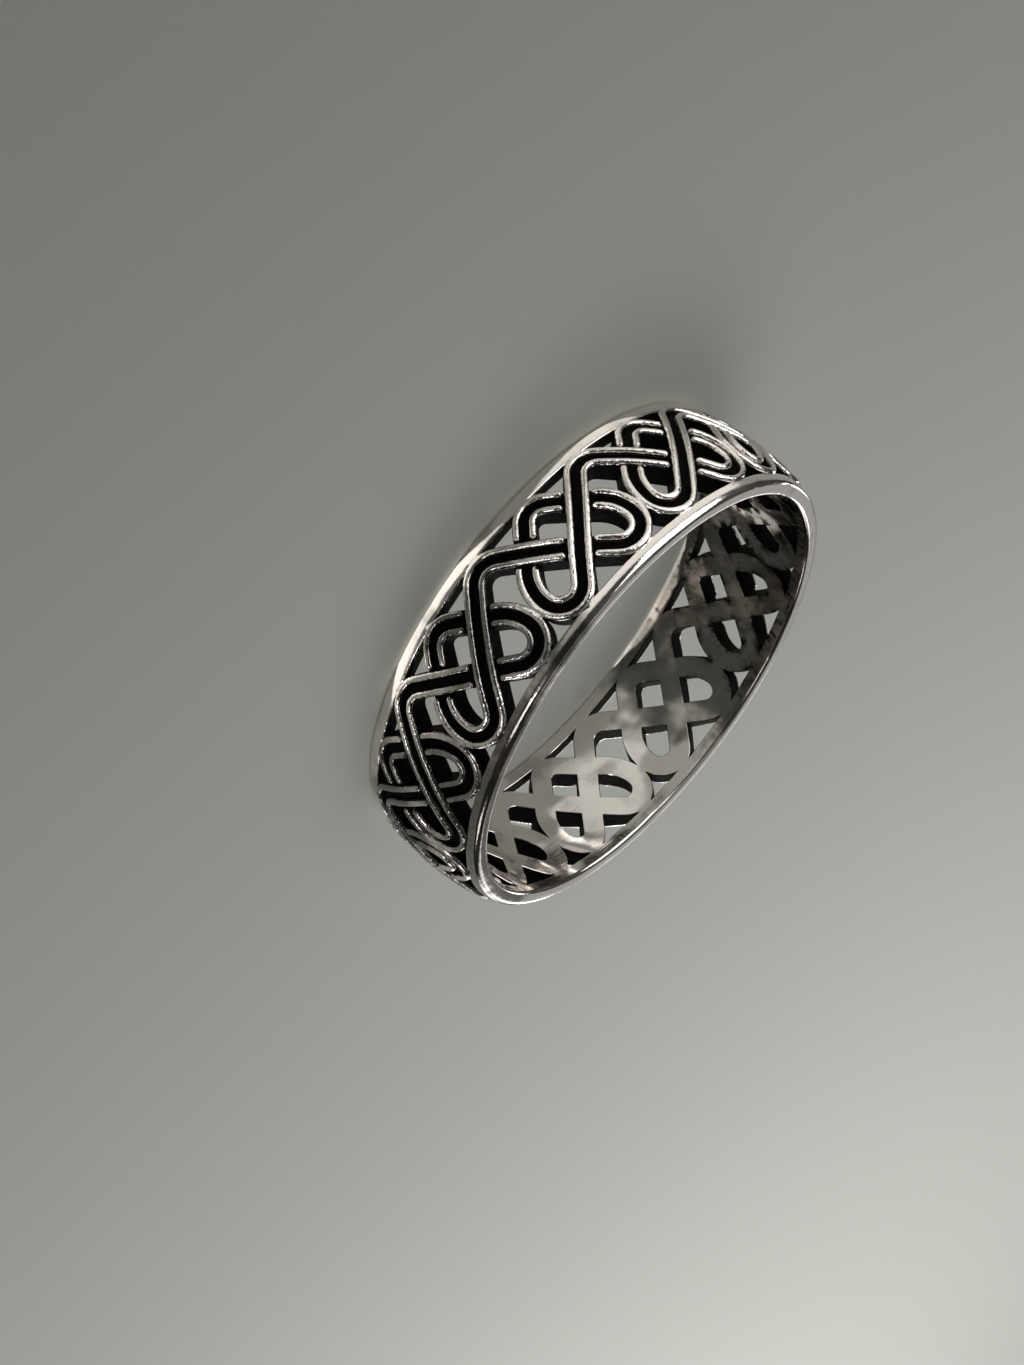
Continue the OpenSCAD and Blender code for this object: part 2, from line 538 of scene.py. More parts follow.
rim_chains = []
for side in (-1, 1):
    for up in RIM_ROWS:
        rim_chains.append(np.column_stack([columns, np.full(COLUMNS + 1, side * (FIELD + up))]))
skin, skin_tris = triangulate(lines + rim_chains)
skin_tris = skin_tris[is_metal(skin[skin_tris].mean(axis=1))]
print("outer skin of one repeat:", len(skin), "points,", len(skin_tris), "triangles")

# %% [markdown]
# ## The walls of the windows
# The edges that only one triangle uses are the rims of the windows. From each of them a wall goes
# straight in to the bore, and its last step is a small chamfer, where the inside was polished. A
# solidify modifier would give the walls too, but not the chamfer at one end only.

# %% Window edges, and how far each corner moves for the chamfer
CHAMFER = 0.03
LAST_ROW = RIM_TOP - 1e-4
# Keeps a sharp corner from moving more than four chamfers
SHARPEST = 0.25

ends = np.concatenate([skin_tris[:, [0, 1]], skin_tris[:, [1, 2]], skin_tris[:, [2, 0]]])
paired = {tuple(edge) for edge in ends.tolist()}
window_edges = []
for a, b in ends.tolist():
    same_border = skin[a, 0] == skin[b, 0] and skin[a, 0] in (0, PITCH)
    if (b, a) not in paired and not same_border and abs(skin[a, 1]) < LAST_ROW:
        window_edges.append((a, b))


def into_metal():
    """How far each window corner moves into the metal for the chamfer, as flat vectors."""
    total = np.zeros((len(skin), 2))
    count = np.zeros(len(skin))
    for a, b in window_edges:
        along = skin[b] - skin[a]
        left = left_of(along) / np.linalg.norm(along)
        for v in (a, b):
            total[v] += left
            count[v] += 1
    # At the repeat's border one of a corner's two edges is the mirror image of the other
    for v in np.nonzero(count == 1)[0]:
        total[v, 0] = 0
        count[v] = 2
        total[v] *= 2
    length2 = np.maximum((total**2).sum(axis=1), SHARPEST)
    return CHAMFER * total * (np.maximum(count, 1) / length2)[:, None]


chamfer_move = into_metal()
print("window edges in one repeat:", len(window_edges))

# %% [markdown]
# ## The bore
# The inside is one smooth cylinder that the finger touches. It gets its own, coarser triangles,
# with the chamfered window edges as its holes. A point is in the metal if a ray from it towards
# the rim crosses the window edges an even number of times.

# %% Triangles of the bore
# Steps of the loose points, with rows as far apart as in a net of even triangles
BORE_STEP = 0.42
BORE_ROW = 0.866 * BORE_STEP
FROM_BORDER = 0.1
FROM_EDGES = 0.14

moved = skin + chamfer_move
window_chains = [np.array([moved[a], moved[b]]) for a, b in window_edges]
rim_rows = [np.column_stack([columns, np.full(COLUMNS + 1, side * RIM_TOP)]) for side in (-1, 1)]


def in_bore_metal(p):
    """Whether an even number of window edges lies straight above each point."""
    above = np.zeros(len(p), int)
    for (xa, ya), (xb, yb) in window_chains:
        if xa == xb:
            continue
        between = (p[:, 0] > min(xa, xb)) & (p[:, 0] <= max(xa, xb))
        at = ya + (p[:, 0] - xa) * (yb - ya) / (xb - xa)
        above += between & (at > p[:, 1])
    return above % 2 == 0


def grid_in_metal():
    """Loose points well inside the metal, to keep the bore's triangles short."""
    found = []
    for j, y in enumerate(np.arange(-RIM_TOP + BORE_STEP / 2, RIM_TOP, BORE_ROW)):
        for x in np.arange(BORE_STEP / 2 * (1 + j % 2), PITCH - FROM_BORDER, BORE_STEP):
            found.append((x, y))
    found = np.array(found)
    edges = np.array([moved[a] for a, _ in window_edges])
    apart = np.linalg.norm(found[:, None] - edges[None], axis=2).min(axis=1) > FROM_EDGES
    return found[apart & in_bore_metal(found)]


bore, bore_tris = triangulate(window_chains + rim_rows, grid_in_metal())
bore_tris = bore_tris[in_bore_metal(bore[bore_tris].mean(axis=1))]
print("bore of one repeat:", len(bore), "points,", len(bore_tris), "triangles")

# %% [markdown]
# ## The section of the rims
# Each rim has a soft shoulder on the outside and a smooth, slightly domed edge, as a polishing
# wheel leaves it. Super-ellipses give that section with one number for how square it is: a tall
# one for the shoulder, which the outer skin has begun, and a low one towards the bore.

# %% Rim section, from the shoulder over the edge to the bore
RIM_STEPS = 22


def rim_section():
    """Points of a rim's rounded edge: height above the outer skin's last row, and radius."""
    begun = (RIM_TOP - FIELD) / RIM_W
    first = math.asin(begun ** (RIM_SQUARE / 2))
    found = []
    for i in range(RIM_STEPS + 1):
        a = first + (math.pi - first) * i / RIM_STEPS
        wide = math.copysign(abs(math.cos(a)) ** (2 / RIM_SQUARE), math.cos(a))
        high = abs(math.sin(a)) ** (2 / RIM_SQUARE)
        up = RIM_W * (high - begun) if a < math.pi / 2 else RIM_ROUND * high
        found.append((up, rim_middle + rim_half * wide))
    return found


section = rim_section()
print("rim section:", len(section), "points, edge at", round(RIM_TOP + max(section)[0], 3), "mm")

# %% [markdown]
# ## Putting one repeat together
# Skin, walls, bore and rims become one list of points. Each point carries a mark that says how deep
# it sits in a recess, which polishing can't reach. Such a mark could be painted by hand, but worked
# out from the shape it always fits. Faces inside are listed apart, because they get the satin finish.

# %% One repeat, with its recess mark
SKIN_FACE = 0
BORE_FACE = 1
WALL_TOP = 0.07
BLACK_UP_TO = 0.04
CHAMFER_RECESS = 0.15

skin_r, skin_lift = top_radius(skin)
polished = (skin_lift - BLACK_UP_TO) / (CHANNEL_DEPTH - WIRE - BLACK_UP_TO)
skin_recess = 1 - np.clip(polished, 0, 1)
points, radii, recesses = [], [], []
faces, kinds = [], []


def add_points(flat, r, recess):
    """Adds points to the repeat, and returns the number of the first one."""
    first = sum(len(block) for block in points)
    n = len(flat)
    points.append(flat)
    radii.append(np.broadcast_to(r, n).astype(float))
    recesses.append(np.broadcast_to(recess, n).astype(float))
    return first


def add_faces(found, kind):
    """Adds faces to the repeat, of the outer skin or of the bore."""
    faces.extend(found)
    kinds.extend([kind] * len(found))


skin_first = add_points(skin, skin_r, skin_recess)
add_faces((skin_tris + skin_first).tolist(), SKIN_FACE)
bore_first = add_points(bore, BORE_R, 0)
add_faces((bore_tris[:, ::-1] + bore_first).tolist(), BORE_FACE)

wall_rows = [
    (skin, skin_r - WALL_TOP, 1),
    (skin, (skin_r + BORE_R) / 2, 1),
    (skin, BORE_R + CHAMFER, 1),
    (moved, BORE_R, CHAMFER_RECESS),
]
wall_first = [skin_first] + [add_points(*row) for row in wall_rows]
for upper, lower in zip(wall_first, wall_first[1:]):
    kind = BORE_FACE if lower == wall_first[-1] else SKIN_FACE
    add_faces([(a + upper, a + lower, b + lower, b + upper) for a, b in window_edges], kind)

for side in (-1, 1):
    firsts = []
    for up, r in section:
        row = np.column_stack([columns, np.full(COLUMNS + 1, side * (RIM_TOP + up))])
        firsts.append(add_points(row, r, 0))
    for lower, upper in zip(firsts, firsts[1:]):
        quads = []
        for j in range(COLUMNS):
            quad = (lower + j, lower + j + 1, upper + j + 1, upper + j)
            quads.append(quad if side > 0 else quad[::-1])
        add_faces(quads, SKIN_FACE)

flat_points = np.concatenate(points)
flat_r = np.concatenate(radii)
recess = np.concatenate(recesses)
print("one repeat:", len(flat_points), "points,", len(faces), "faces")

# %% [markdown]
# ## Eleven repeats, and two more marks
# The repeats are laid side by side, still flat. Two more marks are made for the finishes. One says
# whether a point is on a rim, where the metal is smoother. The other is painted shade: it marks one
# side of the outside and one side of the inside, where the metal mirrors darker surroundings, so that
# the finishes paint more grey and black there. The cosine of the angle to that side fades it in softly.

# %% All repeats, with their rim mark and their painted-shade mark
# Azimuths where the painted shade is darkest, how much of it the wires get, what the upper rim gets
# more and the lower rim less, and where the shaded side begins and fades in
SHADED_INSIDE = 228
SHADED_OUTSIDE = 52
SHADED_WIRES = 0.65
SHADED_RIMS = 0.35
SHADE_FROM = 0.4
SHADE_FADE = 0.5
# What is this close to the bore's radius belongs to the inside
BORE_SKIN = 0.1

all_flat = np.concatenate([shifted(flat_points, n) for n in range(REPEATS)])
all_r = np.tile(flat_r, REPEATS)
all_recess = np.tile(recess, REPEATS)
all_rim = np.clip((np.abs(all_flat[:, 1]) - FIELD) / RIM_EASE, 0, 1)
in_bore = all_r < BORE_R + BORE_SKIN
shaded_azimuth = np.radians(np.where(in_bore, SHADED_INSIDE, SHADED_OUTSIDE))
towards_shade = np.cos(all_flat[:, 0] / RIM_R - shaded_azimuth)
shade_share = np.where(in_bore, 1, SHADED_WIRES + SHADED_RIMS * all_rim * np.sign(all_flat[:, 1]))
all_shade = np.clip((towards_shade - SHADE_FROM) / SHADE_FADE, 0, 1) * shade_share
# The dull count is of points under more than half of the painted shade
print("points:", len(all_flat), "of which dull:", int((all_shade > 0.5).sum()))

# %% [markdown]
# ## Hand and casting
# No cast ring is perfect: the strand wanders by a few hundredths of a millimetre, the wires were
# filed a little unevenly, and the rims are faintly wavy. Blender's noise, read at each point's
# place on the ring, closes round the ring. It starts from the clock unless it is given a seed, so the
# seed comes first, and every rerun makes the same ring. The errors in radius and height are all
# inward, so the ring never grows past its CAD size.

# %% The ring made round, with its small errors
# Each error has its greatest amount, and the size of its features
WANDER, WANDER_SIZE = 0.022, 1.9
FILED, FILED_SIZE = 0.016, 0.62
RIM_WAVE, RIM_WAVE_SIZE = 0.012, 1.7
FADE = 0.5
noise.seed_set(7)


def soft_noise(places, size, seed):
    """Three noise values per place, with features of the given size in millimetres."""
    shift = Vector((seed * 7.1, seed * 3.7, seed * 5.3))
    return np.array([noise.noise_vector(Vector(q) / size + shift) for q in places.tolist()])


def on_ring(flat, r):
    """Wraps flat points round the ring, at the given radii."""
    a = flat[:, 0] / RIM_R
    return np.column_stack([r * np.cos(a), r * np.sin(a), MID_Z + flat[:, 1]])


middle_places = on_ring(all_flat, np.full(len(all_flat), RIM_R))
wander = soft_noise(middle_places, WANDER_SIZE, 1)[:, :2]
drop = (1 + soft_noise(middle_places, FILED_SIZE, 2)[:, 0]) / 2
wave = (1 + soft_noise(middle_places, RIM_WAVE_SIZE, 3)[:, :2]) / 2
in_field = np.clip((FIELD - np.abs(all_flat[:, 1])) / FADE, 0, 1)
in_field = in_field * in_field * (3 - 2 * in_field)
outer = np.clip((all_r - BORE_R - BORE_SKIN) / FADE, 0, 1)
bent_flat = all_flat + WANDER * wander * in_field[:, None]
edge_side = np.sign(all_flat[:, 1]) * np.clip((np.abs(all_flat[:, 1]) - RIM_TOP) / RIM_ROUND, 0, 1)
bent_flat[:, 1] -= edge_side * RIM_WAVE * wave[:, 1]
bent_r = all_r - outer * (FILED * drop * in_field + RIM_WAVE * wave[:, 0])
ring_points = on_ring(bent_flat, bent_r)
print("outside diameter, mm:", round(2 * float(bent_r.max()), 3))

# %% [markdown]
# ## Knocks from wear
# A worn ring has small flats where its rims have hit something hard. Each one here pushes the points
# near a place on a rim into the metal, most at its middle, so that the dent has soft edges. The
# places were chosen where they catch the light. Sculpting would do the same, but not repeatably.

# %% Knocks on the rims
# Azimuth in degrees, radius, height, size and depth of each knock
KNOCKS = (
    (-63.2, 10.42, 6.0, 0.22, 0.035),
    (-77.4, 10.2, 6.0, 0.3, 0.03),
    (-103.0, 10.35, 6.0, 0.25, 0.025),
    (80.5, 10.3, 6.0, 0.3, 0.03),
    (156.0, 10.0, 6.0, 0.35, 0.03),
    (36.0, 10.58, 5.7, 0.3, 0.03),
    (12.0, 10.58, 0.3, 0.3, 0.035),
    (-128.0, 10.58, 0.35, 0.35, 0.03),
)

for azimuth, r, height, size, depth in KNOCKS:
    outwards = np.append(polar(azimuth), 0)
    place = r * outwards + (0, 0, height)
    inner = rim_middle * outwards + (0, 0, MID_Z + math.copysign(RIM_TOP, height - MID_Z))
    push = depth * (inner - place) / np.linalg.norm(inner - place)
    near = np.exp(-((ring_points - place) ** 2).sum(axis=1) / size**2)
    ring_points += near[:, None] * push
print("lowest point of the rims, mm:", round(ring_points[:, 2].min(), 4))

# %% [markdown]
# ## The mesh object
# The eleven repeats are welded where they meet, which closes the mesh. The marks go on it as point
# attributes, which materials can read. Faces are shaded smooth, except over real corners, so that
# the wires look round and the window edges stay crisp.

# %% Build, weld and check the ring
CRISP_ANGLE = 36
WELDED = 0.00035
step = len(flat_points)
all_faces = [tuple(v + n * step for v in face) for n in range(REPEATS) for face in faces]
mesh = bpy.data.meshes.new("knot_band")
mesh.from_pydata((ring_points * MM).tolist(), [], all_faces)
# The dull mark is painted shade for the sides that mirror darker surroundings
for name, values in (("recess", all_recess), ("rim", all_rim), ("dull", all_shade)):
    layer = mesh.attributes.new(name, "FLOAT", "POINT")
    layer.data.foreach_set("value", values.astype(np.float32))
mesh.polygons.foreach_set("material_index", np.tile(kinds, REPEATS).astype(np.int32))

work = bmesh.new()
work.from_mesh(mesh)
bmesh.ops.remove_doubles(work, verts=work.verts, dist=WELDED * MM)
bmesh.ops.delete(work, geom=[v for v in work.verts if not v.link_faces], context="VERTS")
open_edges = [edge for edge in work.edges if len(edge.link_faces) != 2]
print("open or doubled edges:", len(open_edges), "volume, mm3:", round(work.calc_volume() / MM**3, 1))
work.to_mesh(mesh)
work.free()
mesh.shade_smooth()
mesh.set_sharp_from_angle(angle=math.radians(CRISP_ANGLE))
band = bpy.data.objects.new("knot_band", mesh)
bpy.context.scene.collection.objects.link(band)
mesh.calc_loop_triangles()
print("triangles:", len(mesh.loop_triangles))

# %% [markdown]
# ## Helpers for shader nodes
# Materials are small graphs. One helper adds a node and sets its plain values, and another starts
# a node group with named sockets, so that each effect below reads like a recipe.

# %% Node helpers
def add_node(tree, kind, inputs=(), **settings):
    """Adds a node, sets its properties, and fills inputs given as (socket, value or output)."""
    node = tree.nodes.new(kind)
    for name, value in settings.items():
        setattr(node, name, value)
    for socket, value in inputs:
        if isinstance(value, bpy.types.NodeSocket):
            tree.links.new(value, node.inputs[socket])
        else:
            node.inputs[socket].default_value = value
    return node


def start_group(name, inputs, outputs):
    """A shader node group with float sockets, and its input and output nodes."""
    group = bpy.data.node_groups.new(name, "ShaderNodeTree")
    for socket in inputs:
        group.interface.new_socket(socket, in_out="INPUT", socket_type="NodeSocketFloat")
    for socket in outputs:
        group.interface.new_socket(socket, in_out="OUTPUT", socket_type="NodeSocketFloat")
    return group, group.nodes.new("NodeGroupInput"), group.nodes.new("NodeGroupOutput")


def object_noise(tree, scale, detail=2.0, rough=0.5, coordinates=None):
    """Noise over the ring's own coordinates. Scale is in features per metre."""
    if coordinates is None:
        coordinates = add_node(tree, "ShaderNodeTexCoord").outputs["Object"]
    return add_node(tree, "ShaderNodeTexNoise", [
        ("Vector", coordinates), ("Scale", scale), ("Detail", detail), ("Roughness", rough),
    ]).outputs["Fac"]


def remap(tree, value, low, high, to_low=0.0, to_high=1.0):
    """Maps low..high to to_low..to_high, smoothly and clamped."""
    return add_node(tree, "ShaderNodeMapRange", [
        ("Value", value), ("From Min", low), ("From Max", high),
        ("To Min", to_low), ("To Max", to_high),
    ], interpolation_type="SMOOTHSTEP").outputs["Result"]


def calculate(tree, operation, a, b=0.0, clamp=False):
    """One Math node."""
    node = add_node(tree, "ShaderNodeMath", [(0, a), (1, b)], operation=operation, use_clamp=clamp)
    return node.outputs["Value"]


# %% [markdown]
# ## Blackening
# The sulphur bath blackens all the silver, and the polishing wheel takes the black off again
# wherever it reaches. What is left follows the recess mark, with an uneven edge, and thins out to
# a brownish film next to bright metal. A group does this, because both finishes use it. Its Creep
# input moves the black's edge: the higher it is, the more metal the black covers.

# %% Node group: what is left of the blackening
UNEVEN = 0.5
COVER_FADE = (0.42, 0.62)
FILM_FADE = (0.12, 0.48)
black_group, black_in, black_out = start_group(
    "blackening_left", ("Recess", "Creep", "Patch Scale"), ("Cover", "Film"))
patches = object_noise(black_group, black_in.outputs["Patch Scale"], 3.0, 0.6)
patches = calculate(black_group, "SUBTRACT", patches, 0.5)
uneven = calculate(black_group, "MULTIPLY", patches, UNEVEN)
reached = calculate(black_group, "ADD", black_in.outputs["Recess"], uneven)
reached = calculate(black_group, "ADD", reached, black_in.outputs["Creep"])
black_group.links.new(remap(black_group, reached, *COVER_FADE), black_out.inputs["Cover"])
black_group.links.new(remap(black_group, reached, *FILM_FADE), black_out.inputs["Film"])
print("node group:", black_group.name, "with", len(black_group.nodes), "nodes")

# %% [markdown]
# ## Polishing marks
# Polished silver isn't a perfect mirror: it has a faint orange-peel from casting, fine hairlines
# that run round the ring, and a few duller patches where it was handled. Hairlines come from noise
# that is stretched along the way the wheel turned, and break up with a second noise. Soft waves of
# about two millimetres are what hand finishing leaves inside, and make reflections there swim.

# %% Node group: polishing marks
# Hairlines are long round the ring and short up it, and the scales are in features per metre
HAIRLINE_STRETCH = (0.04, 0.04, 1.0)
BREAK_SCALE = 900.0
WAVE_SCALE = 480.0
HANDLED_SCALE = 420.0
polish_group, polish_in, polish_out = start_group(
    "polishing_marks", ("Peel Scale", "Hairline Scale", "Hairlines", "Waves"),
    ("Height", "Dullness"))
coords = add_node(polish_group, "ShaderNodeTexCoord").outputs["Object"]
peel = object_noise(polish_group, polish_in.outputs["Peel Scale"], 2.0, 0.45, coords)
round_ring = add_node(polish_group, "ShaderNodeVectorMath", [
    (0, coords), (1, HAIRLINE_STRETCH),
], operation="MULTIPLY").outputs["Vector"]
hair = object_noise(polish_group, polish_in.outputs["Hairline Scale"], 4.0, 0.7, round_ring)
broken = remap(polish_group, object_noise(polish_group, BREAK_SCALE, 2.0, 0.5, coords), 0.4, 0.65)
hair = calculate(polish_group, "MULTIPLY", remap(polish_group, hair, 0.35, 0.7), broken)
hair = calculate(polish_group, "MULTIPLY", hair, polish_in.outputs["Hairlines"])
waves = object_noise(polish_group, WAVE_SCALE, 0.0, 0.5, coords)
waves = calculate(polish_group, "MULTIPLY", waves, polish_in.outputs["Waves"])
relief = calculate(polish_group, "ADD", calculate(polish_group, "SUBTRACT", peel, hair), waves)
polish_group.links.new(relief, polish_out.inputs["Height"])
handled = remap(polish_group, object_noise(polish_group, HANDLED_SCALE, 3.0, 0.6, coords), 0.45, 0.7)
dull = calculate(polish_group, "ADD", calculate(polish_group, "MULTIPLY", handled, 0.5),
                 calculate(polish_group, "MULTIPLY", hair, 0.5), clamp=True)
polish_group.links.new(dull, polish_out.inputs["Dullness"])
print("node group:", polish_group.name, "with", len(polish_group.nodes), "nodes")

# %% [markdown]
# ## Tarnish and painted shade
# Tarnish turns silver grey in patches, and here the same grey is also painted shade: it lies mostly on
# the shaded sides, above all inside, where the metal mirrors darker surroundings. The side comes from
# the mark on the mesh, and noise breaks it into patches of a few millimetres. The colour itself stays
# in the material, so the group only has to say where the grey goes.

# %% Node group: tarnish patches and painted shade
CLOUD_SCALE = 300.0
TARNISH_SHADE_FADE = (0.25, 0.8)
tarnish_shade_group, tarnish_shade_in, tarnish_shade_out = start_group("tarnish_and_painted_shade", ("Side", "Amount"), ("Mask",))
# The shade side brings painted shade; the cloud noise is tarnish that varies at random
cloud = object_noise(tarnish_shade_group, CLOUD_SCALE, 3.0, 0.55)
cloud = remap(tarnish_shade_group, cloud, 0.3, 0.7, -0.5, 0.5)
tarnish_shade_mask = calculate(tarnish_shade_group, "ADD", tarnish_shade_in.outputs["Side"], cloud)
tarnish_shade_mask = remap(tarnish_shade_group, tarnish_shade_mask, *TARNISH_SHADE_FADE)
tarnish_shade_mask = calculate(tarnish_shade_group, "MULTIPLY", tarnish_shade_mask, tarnish_shade_in.outputs["Amount"])
tarnish_shade_group.links.new(tarnish_shade_mask, tarnish_shade_out.inputs["Mask"])
print("node group:", tarnish_shade_group.name, "with", len(tarnish_shade_group.nodes), "nodes")

# %% [markdown]
# ## The colours of silver
# A colour here is what each layer reflects. Silver is nearly white, a touch warm. The sulphide film
# next to bright metal is brown, tarnish is a greenish grey that also serves as painted shade on the
# shaded sides, and the thick black layer reflects almost nothing. Mix nodes lay them over each other
# in the order in which they form.

# %% Layers of colour
BRIGHT = (0.93, 0.88, 0.84, 1)
BROWN_FILM = (0.24, 0.155, 0.12, 1)
# Tarnish grey, also used as painted shade
TARNISH_SHADE_GREY = (0.12, 0.118, 0.105, 1)
SOOT = (0.004, 0.0035, 0.0032, 1)


def place_group(tree, group, values):
    """A group in a material, with values or outputs of other nodes for its inputs."""
    return add_node(tree, "ShaderNodeGroup", list(values.items()), node_tree=group)


def mesh_mark(tree, name):
    """One of the marks that the mesh carries."""
    return add_node(tree, "ShaderNodeAttribute", attribute_name=name).outputs["Fac"]


def layer_over(tree, below, above, share):
    """One colour laid over another, where share is 1."""
    mix = add_node(tree, "ShaderNodeMix", data_type="RGBA")
    for socket, value in (("Factor_Float", share), ("A_Color", below), ("B_Color", above)):
        target = next(s for s in mix.inputs if s.identifier == socket)
        if isinstance(value, bpy.types.NodeSocket):
            tree.links.new(value, target)
        else:
            target.default_value = value
    return next(s for s in mix.outputs if s.identifier == "Result_Color")


print("silver reflects", BRIGHT[:3], "and soot", SOOT[:3])

# %% [markdown]
# ## The two finishes
# The outside is bright wire over black recess, with more black and grey on one side as painted shade.
# The inside is satin from years of wear and washing, and has grey patches rather than black ones, and
# on its shaded side patches of black too, painted shade for the darker surroundings it mirrors. Both
# are one Principled shader, with the groups driving colour, metalness, roughness and bump. Black
# sulphide isn't a metal, so where it covers, Metallic falls to nothing.

# %% Materials
HAIRLINE_SCALE = 8000.0
FILM_SHARE = 0.75
SOOT_ROUGH = 0.62
SOOT_GLOSS = 0.04


def finish(name, blackening, polishing, tarnish_and_shade, rough, relief):
    """A silver finish: blackening and tarnish over polished or satin metal.

    blackening is the creep, the creep that the painted-shade side adds as painted shade, and the
    patches per metre.
    polishing is the peel per metre, and the strength of hairlines and of waves.
    tarnish_and_shade is the amount of grey, partly tarnish and partly painted shade, and rough is the
    roughness where the metal is bright and where it is dull.
    relief is the bump's depth in metres, and the share of it that is left on the rims.
    """
    material = bpy.data.materials.new(name)
    material.use_nodes = True
    tree = material.node_tree
    shader = tree.nodes["Principled BSDF"]
    creep, shade_creep, patch_scale = blackening
    # side reads the painted-shade mark, which adds black and grey as painted shade
    side = mesh_mark(tree, "dull")
    creeping = calculate(tree, "ADD", calculate(tree, "MULTIPLY", side, shade_creep), creep)
    black = place_group(tree, black_group, {
        "Recess": mesh_mark(tree, "recess"), "Creep": creeping, "Patch Scale": patch_scale})
    peel_scale, hairlines, waves = polishing
    polish = place_group(tree, polish_group, {
        "Peel Scale": peel_scale, "Hairline Scale": HAIRLINE_SCALE,
        "Hairlines": hairlines, "Waves": waves})
    tarnish_shade = place_group(tree, tarnish_shade_group, {"Side": side, "Amount": tarnish_and_shade})
    cover = black.outputs["Cover"]
    film = calculate(tree, "MULTIPLY", black.outputs["Film"], FILM_SHARE)
    colour = layer_over(tree, BRIGHT, BROWN_FILM, film)
    # Grey tarnish patches, mostly painted shade on the shaded side
    colour = layer_over(tree, colour, TARNISH_SHADE_GREY, tarnish_shade.outputs["Mask"])
    colour = layer_over(tree, colour, SOOT, cover)
    tree.links.new(colour, shader.inputs["Base Color"])
    tree.links.new(calculate(tree, "SUBTRACT", 1.0, cover), shader.inputs["Metallic"])
    metal_rough = remap(tree, polish.outputs["Dullness"], 0, 1, *rough)
    all_rough = add_node(tree, "ShaderNodeMix", [(0, cover), (2, metal_rough), (3, SOOT_ROUGH)])
    tree.links.new(all_rough.outputs[0], shader.inputs["Roughness"])
    shader.inputs["Specular IOR Level"].default_value = SOOT_GLOSS
    distance, rim_relief = relief
    bump = add_node(tree, "ShaderNodeBump", [
        ("Strength", remap(tree, mesh_mark(tree, "rim"), 0, 1, 1.0, rim_relief)),
        ("Distance", distance), ("Height", polish.outputs["Height"])])
    tree.links.new(bump.outputs["Normal"], shader.inputs["Normal"])
    print("finish:", name, "with", len(tree.nodes), "nodes")
    return material


# The second blackening number and the grey amount set how much painted shade lies on the shaded side
mesh.materials.append(finish(
    "blackened_silver", blackening=(0.0, 0.36, 5200.0), polishing=(5200.0, 0.25, 0.0),
    tarnish_and_shade=0.8, rough=(0.12, 0.26), relief=(0.000038, 0.16)))
mesh.materials.append(finish(
    "satin_silver", blackening=(-0.2, 0.62, 1700.0), polishing=(900.0, 0.3, 50.0),
    tarnish_and_shade=0.9, rough=(0.1, 0.26), relief=(0.000006, 1.0)))
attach(band, "root")
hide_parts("band")

# %% [markdown]
# ## The floor
# The ring lies on a plain pale floor, wide enough to fill the picture. It could be a curved paper
# sweep, but a flat one that runs out of the light fades into the same soft dark. It has no gloss,
# so that the lights leave no streaks on it.

# %% Floor
FLOOR_SIZE = 3.0
PAPER = (0.61, 0.625, 0.575, 1)
PAPER_ROUGH = 0.9
floor_mesh = bpy.data.meshes.new("floor")
corners = [(-1, -1), (1, -1), (1, 1), (-1, 1)]
floor_mesh.from_pydata([(x * FLOOR_SIZE, y * FLOOR_SIZE, 0) for x, y in corners], [], [(0, 1, 2, 3)])
floor = bpy.data.objects.new("floor", floor_mesh)
bpy.context.scene.collection.objects.link(floor)
paper = bpy.data.materials.new("pale_floor")
paper.use_nodes = True
paper_shader = paper.node_tree.nodes["Principled BSDF"]
paper_shader.inputs["Base Color"].default_value = PAPER
paper_shader.inputs["Roughness"].default_value = PAPER_ROUGH
paper_shader.inputs["Specular IOR Level"].default_value = 0.0
floor_mesh.materials.append(paper)
print("floor, m:", 2 * FLOOR_SIZE, "square")

# %% [markdown]
# ## Soft light
# Polished silver shows what is round it, so the light is a few large soft panels with darker room
# between them: that gives each wire a bright line and a dark flank, as in a jeweller's light tent.
# A photographer sets the light on the table and the cards that the metal mirrors one by one. Here
# too, two panels light the floor, and the cards are seen only by the metal. A panel's glow is how
# bright it looks in the metal, whatever its size.

# %% Panels and cards round the ring
DOWN = Vector((0, 0, -1))


def soft_panel(name, azimuth, elevation, away, size, glow, shines_on, look=None):
    """A square soft light, turned to the ring or to look, that shines on floor or metal alone."""
    light = bpy.data.objects.new(name, bpy.data.lights.new(name, "AREA"))
    light.data.size = size
    light.data.energy = glow * math.pi * size**2
    light.location = ring_middle + away * direction(azimuth, elevation)
    aim(light, look or -direction(azimuth, elevation))
    light.visible_camera = False
    light.visible_diffuse = shines_on == "floor"
    light.visible_glossy = shines_on == "metal"
    bpy.context.scene.collection.objects.link(light)
    return light


# Name, azimuth, elevation, distance, size and glow of each panel, and of each card below
soft_panel("overhead", 143, 67.8, 0.159, 0.24, 0.44, "floor", look=DOWN)
back_panel = soft_panel("back", 142, 31.9, 0.2215, 0.18, 2.9, "floor", look=DOWN)
back_panel.data.use_shadow = False
soft_panel("overhead_card", 143, 67.8, 0.159, 0.14, 1.11, "metal", look=DOWN)
CARDS = (
    ("back_card", 182, 25, 0.6, 0.34, 0.28),
    ("back_low_card", 178, 5, 0.6, 0.1, 1.5),
    ("back_right_card", 160, 20, 0.4, 0.14, 2.0),
    ("low_right_card", 149, 5, 0.4, 0.12, 3.5),
    ("rim_card", 167, 17, 0.4, 0.065, 3.0),
    ("back_left_card", 203, 15, 0.4, 0.08, 3.0),
    ("front_right_card", -70, 28, 0.45, 0.45, 1.8),
    ("front_left_card", 40, 20, 0.4, 0.15, 4.0),
    ("left_card", 105, 25, 0.4, 0.12, 4.0),
    ("sky_card", 180, 84, 0.4, 0.26, 0.22),
)
for card in CARDS:
    soft_panel(*card, "metal")
print("cards round the ring:", len(CARDS) + 1)

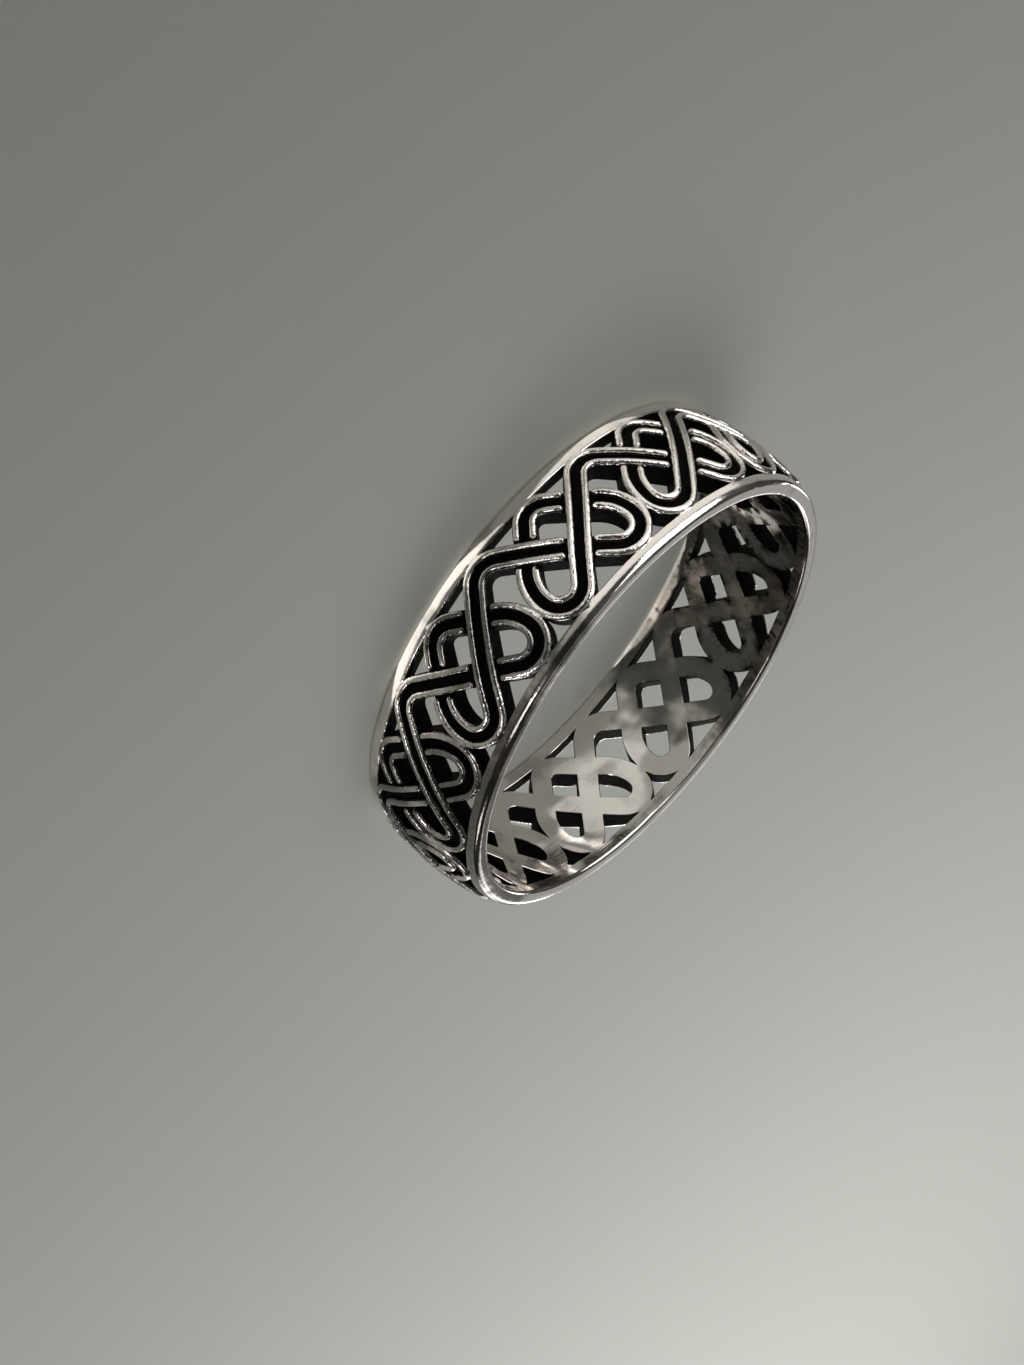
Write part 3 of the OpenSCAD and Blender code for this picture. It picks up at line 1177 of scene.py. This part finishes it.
# %% [markdown]
# ## White cards on the table
# Silver that leans outward mirrors the table, so a jeweller lays white cards there: one in the
# finger hole, a large one beside the ring, and three slips along its lower edges. As lights that
# face up they brighten only what the metal mirrors, and leave the floor in the picture plain.

# %% Cards on the table
CARD_WHITE = (1.0, 0.965, 0.92)
CARD_LIFT = 0.03 * MM


def table_card(name, azimuth, away, deep, wide, glow):
    """An oval soft light that lies on the floor facing up. Its places and sizes are in mm."""
    light = soft_panel(name, 0, 0, 0, deep * MM, 1.0, "metal", look=-DOWN)
    light.data.shape = "ELLIPSE"
    light.data.size_y = wide * MM
    light.data.energy = glow * math.pi**2 / 4 * deep * wide * MM**2
    light.data.color = CARD_WHITE
    light.location = away * MM * direction(azimuth, 0)
    light.location.z = CARD_LIFT
    light.rotation_euler = (math.pi, 0, math.radians(azimuth))


# Name, azimuth, distance from the axis, depth, width and glow of each card
TABLE_CARDS = (
    ("hole_card", 229, 5.3, 7, 7, 0.3),
    ("right_card", -45, 63.6, 100, 100, 0.6),
    ("inner_edge_card", 200, 9.7, 1.4, 8, 1.7),
    ("outer_edge_card", 15, 10.6, 0.95, 11, 0.9),
    ("right_edge_card", -42, 11.1, 1.1, 8, 0.6),
)
for card in TABLE_CARDS:
    table_card(*card)

# %% [markdown]
# ## The room
# The room beyond the lights is nearly dark, and a little darker still where the picture looks past
# the floor's end, so that no line shows there. A Light Path node tells the two apart. The Standard
# view shows the colours as they are, because the light was balanced for it.

# %% Room
ROOM_LIGHT = 0.045
ROOM_SEEN = 0.028
ROOM_COLOUR = (0.98, 1.0, 0.94, 1)
room = bpy.data.worlds.new("room")
bpy.context.scene.world = room
room.use_nodes = True
seen = add_node(room.node_tree, "ShaderNodeLightPath").outputs["Is Camera Ray"]
glow = remap(room.node_tree, seen, 0, 1, ROOM_LIGHT, ROOM_SEEN)
backdrop = room.node_tree.nodes["Background"]
backdrop.inputs["Color"].default_value = ROOM_COLOUR
room.node_tree.links.new(glow, backdrop.inputs["Strength"])
bpy.context.scene.view_settings.view_transform = "Standard"
print("room light:", ROOM_LIGHT)
